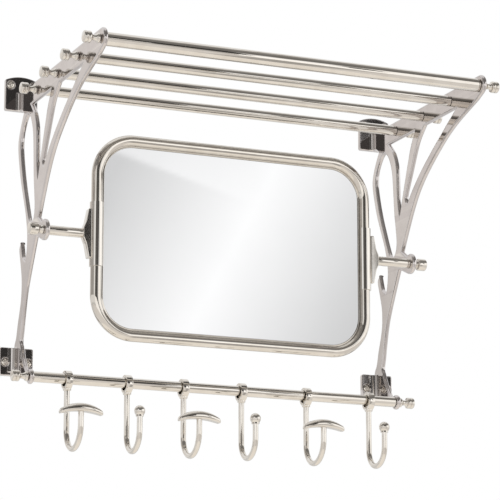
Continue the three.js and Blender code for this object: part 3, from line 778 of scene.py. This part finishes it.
def pivot_plate_mesh(side, sign):
    """The plate on a sleeve, which narrows to a nose that holds the pivot rod."""
    node = f"pivot_plate_{side}"
    low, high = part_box(node)
    centre = pivot_centre()
    tube_x = mirror_measures()["half_width"]
    nose = max(abs(low.x), abs(high.x))
    outer = size(f"pivot_sleeve_{side}").y / 2
    half = (high.z - low.z) / 2
    rod = size(f"pivot_rod_{side}").z / 2
    root = tube_x + outer * 0.8
    flank = tube_x + outer + PLATE_FLANK
    shoulder = nose - PLATE_NOSE_LENGTH
    rise = rod + PLATE_NOSE_RISE
    corners = eased([
        (root, 0), (root, -half), (flank, -half), (shoulder, -rise), (nose, -rod), (nose, rod),
        (shoulder, rise), (flank, half), (root, half), (root, 0),
    ], PLATE_ROUNDING)[:-1]
    outline = [(u * sign, v) for u, v in corners]
    return plate(f"{node}_lug", [outline], high.y - low.y, PLATE_ROUNDING,
                 lambda u, v, lift: Vector((u, centre.y - lift, centre.z + v)))


def pivot_rod_mesh(side, sign):
    """The rod from a pivot plate's nose to the bracket."""
    centre = pivot_centre()
    low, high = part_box(f"pivot_plate_{side}")
    nose = max(abs(low.x), abs(high.x))
    mesh = turn_round(rod_mesh(f"pivot_rod_{side}", nose, rod_end()), sign)
    return moved(mesh, Vector((0, centre.y, centre.z)))


def knob_mesh(side, sign):
    """A clamp knob: a waisted neck against the bracket and a plain round grip."""
    node = f"pivot_knob_{side}"
    low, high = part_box(node)
    seat = low.x if sign > 0 else high.x
    grip = (high.z - low.z) / 2
    length = high.x - low.x
    neck = grip * 0.6
    profile = [
        (0, 0),
        *flowing([(grip * 0.74, 0), (grip * 0.76, 0.9 * MM), (neck * 1.08, 2.6 * MM), (neck, 4.2 * MM)], 4),
        *eased([
            (neck, 4.2 * MM), (neck * 1.1, 5.0 * MM), (grip, 6.0 * MM), (grip, length - KNOB_CHAMFER),
            (grip - KNOB_CHAMFER, length), (0, length),
        ], 0.8 * MM)[1:],
    ]
    mesh = turn_round(turned(f"{node}_turned", profile), sign)
    centre = middle(node)
    return moved(mesh, Vector((seat, centre.y, centre.z)))


# ------------------------------------------------------------------------------------------------
# Finishes
# ------------------------------------------------------------------------------------------------

def polish_group():
    """Fine unevenness of a polished plated surface: a slow ripple, hair lines, and faint smears."""
    group = bpy.data.node_groups.new("Polished plating", "ShaderNodeTree")
    group.interface.new_socket("Ripple Scale", in_out="INPUT", socket_type="NodeSocketFloat")
    group.interface.new_socket("Smear Scale", in_out="INPUT", socket_type="NodeSocketFloat")
    group.interface.new_socket("Smears", in_out="OUTPUT", socket_type="NodeSocketFloat")
    group.interface.new_socket("Height", in_out="OUTPUT", socket_type="NodeSocketFloat")
    nodes, links = group.nodes, group.links
    entry = nodes.new("NodeGroupInput")
    results = nodes.new("NodeGroupOutput")
    place = nodes.new("ShaderNodeTexCoord")
    ripple = nodes.new("ShaderNodeTexNoise")
    ripple.inputs["Detail"].default_value = 1.5
    lines = nodes.new("ShaderNodeTexNoise")
    lines.inputs["Scale"].default_value = 900
    lines.inputs["Detail"].default_value = 4
    smears = nodes.new("ShaderNodeTexNoise")
    smears.inputs["Detail"].default_value = 5
    smears.inputs["Roughness"].default_value = 0.62
    mix = nodes.new("ShaderNodeMath")
    mix.operation = "MULTIPLY_ADD"
    mix.inputs[1].default_value = 0.01
    spread = nodes.new("ShaderNodeMapRange")
    spread.inputs["From Min"].default_value = 0.38
    spread.inputs["From Max"].default_value = 0.66
    for texture in (ripple, lines, smears):
        links.new(place.outputs["Object"], texture.inputs["Vector"])
    links.new(entry.outputs["Ripple Scale"], ripple.inputs["Scale"])
    links.new(entry.outputs["Smear Scale"], smears.inputs["Scale"])
    links.new(lines.outputs["Fac"], mix.inputs[0])
    links.new(ripple.outputs["Fac"], mix.inputs[2])
    links.new(smears.outputs["Fac"], spread.inputs["Value"])
    links.new(mix.outputs["Value"], results.inputs["Height"])
    links.new(spread.outputs["Result"], results.inputs["Smears"])
    return group


def wear_group():
    """Where an edge has been rubbed bright, and where a hollow has kept its tarnish."""
    group = bpy.data.node_groups.new("Rubbed edges", "ShaderNodeTree")
    group.interface.new_socket("Edge", in_out="OUTPUT", socket_type="NodeSocketFloat")
    group.interface.new_socket("Hollow", in_out="OUTPUT", socket_type="NodeSocketFloat")
    nodes, links = group.nodes, group.links
    results = nodes.new("NodeGroupOutput")
    shape = nodes.new("ShaderNodeNewGeometry")
    for name, low, high in (("Edge", 0.52, 0.62), ("Hollow", 0.49, 0.40)):
        spread = nodes.new("ShaderNodeMapRange")
        spread.inputs["From Min"].default_value = low
        spread.inputs["From Max"].default_value = high
        links.new(shape.outputs["Pointiness"], spread.inputs["Value"])
        links.new(spread.outputs["Result"], results.inputs[name])
    return group


def placed_group(tree, group, **values):
    """A group placed in a material, with the values of its inputs."""
    node = tree.nodes.new("ShaderNodeGroup")
    node.node_tree = group
    for name, value in values.items():
        node.inputs[name.replace("_", " ")].default_value = value
    return node


def colour_mix(tree, factor, first, second):
    """A mix of two colours, each one a colour or another node's output."""
    mix = tree.nodes.new("ShaderNodeMix")
    mix.data_type = "RGBA"
    tree.links.new(factor, mix.inputs["Factor"])
    for socket, value in ((mix.inputs[6], first), (mix.inputs[7], second)):
        if isinstance(value, tuple):
            socket.default_value = (*value, 1)
        else:
            tree.links.new(value, socket)
    return mix.outputs[2]


def new_material(name):
    material = bpy.data.materials.new(name)
    material.use_nodes = True
    return material, material.node_tree, material.node_tree.nodes["Principled BSDF"]


def plated_metal(name, bright, tarnished, rubbed, roughness, ripple_scale, ripple_depth, softness=0):
    """A plated metal: its own colour, duller in smears and hollows, brighter on rubbed edges.

    `softness` is the radius by which its edges are rounded in the shading.
    """
    material, tree, surface = new_material(name)
    polish = placed_group(tree, POLISH, Ripple_Scale=ripple_scale, Smear_Scale=55)
    wear = placed_group(tree, WEAR)
    smeared = colour_mix(tree, polish.outputs["Smears"], bright, tarnished)
    hollowed = colour_mix(tree, wear.outputs["Hollow"], smeared, tarnished)
    worn = colour_mix(tree, wear.outputs["Edge"], hollowed, rubbed)
    dull = tree.nodes.new("ShaderNodeMapRange")
    dull.inputs["To Min"].default_value = roughness[0]
    dull.inputs["To Max"].default_value = roughness[1]
    bump = tree.nodes.new("ShaderNodeBump")
    bump.inputs["Strength"].default_value = 1
    bump.inputs["Distance"].default_value = ripple_depth
    tree.links.new(polish.outputs["Smears"], dull.inputs["Value"])
    tree.links.new(dull.outputs["Result"], surface.inputs["Roughness"])
    tree.links.new(worn, surface.inputs["Base Color"])
    tree.links.new(polish.outputs["Height"], bump.inputs["Height"])
    tree.links.new(bump.outputs["Normal"], surface.inputs["Normal"])
    if softness:
        rounded = tree.nodes.new("ShaderNodeBevel")
        rounded.samples = 10
        rounded.inputs["Radius"].default_value = softness
        tree.links.new(rounded.outputs["Normal"], bump.inputs["Normal"])
    surface.inputs["Metallic"].default_value = 1
    return material


def polished_nickel():
    return plated_metal(
        "Polished nickel",
        bright=(0.70, 0.665, 0.615), tarnished=(0.64, 0.60, 0.545), rubbed=(0.76, 0.73, 0.69),
        roughness=(0.025, 0.05), ripple_scale=30, ripple_depth=0.01 * MM,
    )


def cast_nickel():
    return plated_metal(
        "Cast nickel plate",
        bright=(0.60, 0.565, 0.555), tarnished=(0.54, 0.505, 0.495), rubbed=(0.74, 0.71, 0.68),
        roughness=(0.03, 0.055), ripple_scale=40, ripple_depth=0.03 * MM, softness=1.2 * MM,
    )


def threaded_steel():
    return plated_metal(
        "Threaded steel",
        bright=(0.52, 0.52, 0.51), tarnished=(0.40, 0.39, 0.37), rubbed=(0.62, 0.62, 0.61),
        roughness=(0.3, 0.5), ripple_scale=120, ripple_depth=0.1 * MM,
    )


def silvered_glass():
    """Mirror glass: clear and even, with the faintest haze where it was wiped."""
    material, tree, surface = new_material("Silvered glass")
    polish = placed_group(tree, POLISH, Ripple_Scale=6, Smear_Scale=14)
    haze = tree.nodes.new("ShaderNodeMapRange")
    haze.inputs["To Min"].default_value = 0.012
    haze.inputs["To Max"].default_value = 0.03
    colour = colour_mix(tree, polish.outputs["Smears"], (0.705, 0.708, 0.71), (0.696, 0.70, 0.702))
    tree.links.new(polish.outputs["Smears"], haze.inputs["Value"])
    tree.links.new(haze.outputs["Result"], surface.inputs["Roughness"])
    tree.links.new(colour, surface.inputs["Base Color"])
    surface.inputs["Metallic"].default_value = 1
    return material


def backing_board():
    """The grey sheet behind the glass, slightly fibrous."""
    material, tree, surface = new_material("Backing board")
    polish = placed_group(tree, POLISH, Ripple_Scale=700, Smear_Scale=90)
    colour = colour_mix(tree, polish.outputs["Smears"], (0.075, 0.075, 0.08), (0.11, 0.11, 0.112))
    bump = tree.nodes.new("ShaderNodeBump")
    bump.inputs["Distance"].default_value = 0.2 * MM
    bump.inputs["Strength"].default_value = 0.6
    tree.links.new(polish.outputs["Height"], bump.inputs["Height"])
    tree.links.new(bump.outputs["Normal"], surface.inputs["Normal"])
    tree.links.new(colour, surface.inputs["Base Color"])
    surface.inputs["Roughness"].default_value = 0.75
    return material


POLISH = polish_group()
WEAR = wear_group()
FINISHES = {
    "polished_nickel": polished_nickel(),
    "cast_nickel": cast_nickel(),
    "threaded_steel": threaded_steel(),
    "silvered_glass": silvered_glass(),
    "backing_board": backing_board(),
}


# ------------------------------------------------------------------------------------------------
# Assembly
# ------------------------------------------------------------------------------------------------

def fit(node, mesh):
    """Puts a finished mesh in a node's place, on the node's body and in the node's finish."""
    piece = put_in_scene(f"{node}_finished", mesh)
    mesh.materials.append(FINISHES[SLOT_OF[node]])
    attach(piece, BODY_OF[node])
    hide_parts(node)


def make_rack():
    for side, sign in SIDES:
        fit(f"bracket_{side}", bracket_mesh(side))
        for level in LEVELS:
            for spot in SCREW_SPOTS:
                node = f"flange_screw_{side}_{level}_{spot}"
                fit(node, screw_mesh(node))
        for i in range(1, 5):
            node = f"shelf_finial_{i}_{side}"
            fit(node, finial_mesh(node, sign))
        fit(f"rail_finial_{side}", finial_mesh(f"rail_finial_{side}", sign))
    for i in range(1, 5):
        fit(f"shelf_tube_{i}", long_rod_mesh(f"shelf_tube_{i}"))
        tie_rod = frame["nodes"][f"shelf_tie_rod_{i}"]
        tie_rod.data.materials.clear()
        tie_rod.data.materials.append(FINISHES["threaded_steel"])
    fit("hook_rail", long_rod_mesh("hook_rail"))


def make_hooks():
    for index in range(1, 7):
        tip = f"hook_{index}_cap" if index % 2 else f"hook_{index}_ball"
        fit(f"hook_{index}_collar", collar_mesh(index))
        fit(f"hook_{index}_rod", hook_rod_mesh(index, tip))
        fit(tip, cap_mesh(index) if index % 2 else ball_mesh(index))


def make_mirror():
    fit("mirror_frame", frame_tube_mesh())
    fit("mirror_bead", bead_mesh())
    fit("mirror_glass", sheet_mesh("mirror_glass", GLASS_ROUNDING))
    fit("mirror_backing", sheet_mesh("mirror_backing", BACKING_ROUNDING))
    for side, sign in SIDES:
        fit(f"pivot_sleeve_{side}", sleeve_mesh(side, sign))
        fit(f"pivot_plate_{side}", pivot_plate_mesh(side, sign))
        fit(f"pivot_rod_{side}", pivot_rod_mesh(side, sign))
        fit(f"pivot_knob_{side}", knob_mesh(side, sign))


# ------------------------------------------------------------------------------------------------
# Studio
# ------------------------------------------------------------------------------------------------

FLOOR_HEIGHT = -1.5
FLOOR_REACH = 30
STUDIO_CENTRE = Vector((0, -0.15, 0.15))

# The front cards' glow, and where it changes, in degrees of azimuth and height
RIGHT_SCREEN_GLOW = 1.35
LEFT_SCREEN_GLOW = 1.3
LOW_SCREEN_GLOW = 1.5
SOFTBOX_AZIMUTHS = (18, 31)
SOFTBOX_FOOT = 8.6
SOFTBOX_PEAK = 1.415
SOFTBOX_LEAST = 0.9
SOFTBOX_SLOPE = 0.103  # what it loses with each degree to the side


def card_material(name):
    """A card that only shines, as brightly as its mesh's glow says."""
    material = bpy.data.materials.new(name)
    material.use_nodes = True
    nodes, links = material.node_tree.nodes, material.node_tree.links
    nodes.clear()
    glow = nodes.new("ShaderNodeAttribute")
    glow.attribute_name = "glow"
    shine = nodes.new("ShaderNodeEmission")
    links.new(glow.outputs["Color"], shine.inputs["Color"])
    links.new(shine.outputs["Emission"], nodes.new("ShaderNodeOutputMaterial").inputs["Surface"])
    return material


CARD = card_material("Studio card")


def studio_card(name, azimuths, heights, distance, tint, glow, step=4):
    """A curved card round the rack, seen only in its metal and glass.

    Angles are in degrees: azimuth 0 is straight in front of the wall and 90 is to the right, and a height is
    an angle above the rack's middle.
    """
    steps_a = max(2, round(abs(azimuths[1] - azimuths[0]) / step))
    steps_h = max(2, round(abs(heights[1] - heights[0]) / step))
    vertices = []
    glows = []
    for i in range(steps_a + 1):
        azimuth = azimuths[0] + (azimuths[1] - azimuths[0]) * i / steps_a
        for k in range(steps_h + 1):
            height = heights[0] + (heights[1] - heights[0]) * k / steps_h
            flat = math.cos(math.radians(height))
            way = Vector((math.sin(math.radians(azimuth)) * flat, -math.cos(math.radians(azimuth)) * flat,
                          math.sin(math.radians(height))))
            vertices.append(STUDIO_CENTRE + way * distance)
            glows.append(glow(azimuth, height))
    row = steps_h + 1
    faces = [[i * row + k, i * row + k + 1, (i + 1) * row + k + 1, (i + 1) * row + k]
             for i in range(steps_a) for k in range(steps_h)]
    mesh = bpy.data.meshes.new(name)
    mesh.from_pydata(vertices, [], faces)
    colours = mesh.color_attributes.new("glow", "FLOAT_COLOR", "POINT")
    for slot, value in zip(colours.data, glows):
        slot.color = (*(part * value for part in tint), 1)
    mesh.materials.append(CARD)
    card = put_in_scene(name, mesh)
    card.visible_camera = False
    card.visible_diffuse = False
    card.visible_shadow = False


def front_glow(azimuth, height):
    """A soft box right of the camera, with a plain bright screen on both sides of it and below.

    The box is brightest along a line that leans to the right, is lighter above a fold, and fades upwards.
    """
    left, right = SOFTBOX_AZIMUTHS
    if azimuth > right:
        return RIGHT_SCREEN_GLOW
    if azimuth < left:
        return LEFT_SCREEN_GLOW
    if height < SOFTBOX_FOOT:
        return LOW_SCREEN_GLOW
    brightest = 23.7 - 0.55 * (14.2 - height)
    fold = 15.3 - 0.355 * (azimuth - 20.3)
    above_fold = 0.3 * between(height - fold, -0.06, 0.06) * between(azimuth, 23.6, 19.5)
    fade = 1 - 0.78 * between(height, 17, 27)
    return (max(SOFTBOX_LEAST, SOFTBOX_PEAK - SOFTBOX_SLOPE * abs(azimuth - brightest)) + above_fold) * fade


def grey_below_glow(azimuth, height):
    """Grey under the shelf's reflections, lighter to both sides."""
    return 0.5 + 0.4 * between(abs(azimuth - 24), 5, 9)


def overhead_glow(azimuth, height):
    """Dark, but less so near the top."""
    return 0.22 + 0.2 * between(height, 48, 68)


def far_left_glow(azimuth, height):
    """Nearly black next to the soft box, and a little lighter away from it."""
    return 0.04 + 0.08 * between(azimuth, 8, 2)


def behind_glow(azimuth, height):
    """Pale, and paler higher up."""
    return 0.74 + 0.2 * between(height, 10, 14)


def even(glow):
    """The same glow all over a card."""
    return lambda azimuth, height: glow


def make_cards():
    """The cards that give the metal and the glass something to reflect."""
    warm = (1.0, 0.965, 0.93)
    white = (1.0, 0.99, 0.975)
    plain_white = (1.0, 0.997, 1.0)
    cream = (1.0, 0.955, 0.89)
    studio_card("front_screen", (-40, 80), (-9, 27), 8, white, front_glow, 0.5)
    studio_card("softbox_front", (18, 27.5), (9.5, 18), 7.95, plain_white, front_glow, 0.1)
    studio_card("dark_overhead", (-100, 100), (27, 70), 7.9, warm, overhead_glow)
    studio_card("dark_far_left", (-36, 10), (8.2, 27), 7.8, warm, far_left_glow, 1)
    studio_card("dark_left_of_softbox", (10, 18.75), (5, 27), 7.8, warm, even(0.045), 1)
    studio_card("dark_right_of_softbox", (27.4, 30.5), (6, 18.5), 7.8, warm, even(0.05), 1)
    studio_card("grey_far_left", (-130, -60), (8.6, 40), 7.9, warm, even(0.45))
    studio_card("pale_behind", (-180, -131), (7.5, 19), 7.9, warm, behind_glow, 2)
    studio_card("thin_grey_strip", (4, 17.4), (-9, 5), 7.8, warm, even(0.6))
    studio_card("grey_below", (-100, 100), (-44, -9), 2.0, warm, grey_below_glow, 2)
    studio_card("cream_below", (-180, 180), (-89, -44), 1.55, cream, even(1.1))


def make_floor():
    """A plain pale floor."""
    material, _, surface = new_material("Pale floor")
    surface.inputs["Base Color"].default_value = (0.9, 0.895, 0.885, 1)
    surface.inputs["Roughness"].default_value = 0.9
    mesh = bpy.data.meshes.new("floor")
    corners = ((-1, -1), (1, -1), (1, 1), (-1, 1))
    points = [(x * FLOOR_REACH, y * FLOOR_REACH, FLOOR_HEIGHT) for x, y in corners]
    mesh.from_pydata(points, [], [[0, 1, 2, 3]])
    mesh.materials.append(material)
    put_in_scene("floor", mesh)


def make_world():
    """A white background, also in metal and glass, and an even light on all else."""
    world = bpy.data.worlds.new("Studio")
    bpy.context.scene.world = world
    world.use_nodes = True
    nodes, links = world.node_tree.nodes, world.node_tree.links
    nodes.clear()
    ray = nodes.new("ShaderNodeLightPath")
    seen = nodes.new("ShaderNodeMath")
    seen_or_clear = nodes.new("ShaderNodeMath")
    for node in (seen, seen_or_clear):
        node.operation = "MAXIMUM"
    backdrop = nodes.new("ShaderNodeBackground")
    soft = nodes.new("ShaderNodeBackground")
    soft.inputs["Color"].default_value = (1, 1, 1, 1)
    soft.inputs["Strength"].default_value = 0.85
    backdrop.inputs["Color"].default_value = (1, 1, 1, 1)
    mix = nodes.new("ShaderNodeMixShader")
    links.new(ray.outputs["Is Camera Ray"], seen.inputs[0])
    links.new(ray.outputs["Is Glossy Ray"], seen.inputs[1])
    links.new(seen.outputs["Value"], seen_or_clear.inputs[0])
    links.new(ray.outputs["Is Transmission Ray"], seen_or_clear.inputs[1])
    links.new(seen_or_clear.outputs["Value"], mix.inputs["Fac"])
    links.new(soft.outputs["Background"], mix.inputs[1])
    links.new(backdrop.outputs["Background"], mix.inputs[2])
    links.new(mix.outputs["Shader"], nodes.new("ShaderNodeOutputWorld").inputs["Surface"])


def make_lamp(name, place, width, power):
    """A large soft lamp aimed at the rack, not seen in the metal."""
    light = bpy.data.lights.new(name, "AREA")
    light.size = width
    light.energy = power
    lamp = put_in_scene(name, light)
    lamp.location = place
    lamp.rotation_euler = (STUDIO_CENTRE - Vector(place)).to_track_quat("-Z", "Y").to_euler()
    lamp.visible_glossy = False


def make_camera():
    """The photograph's viewpoint: below the rack and to its left."""
    view = bpy.data.cameras.new("photo_view")
    view.lens = 186.2
    view.sensor_width = 36
    view.clip_end = 100
    camera = put_in_scene("photo_view", view)
    camera.location = (-1.1089, -2.7410, -0.4993)
    camera.rotation_euler = (math.radians(102.687), 0, math.radians(-23.148))
    bpy.context.scene.camera = camera


def make_studio():
    make_floor()
    make_world()
    make_cards()
    make_lamp("key_lamp", (-2.2, -3.2, 2.6), 2.4, 60)
    make_lamp("fill_lamp", (3.0, -2.2, 1.6), 3.0, 30)
    bpy.context.scene.view_settings.view_transform = "Standard"


make_rack()
make_hooks()
make_mirror()
make_camera()
make_studio()
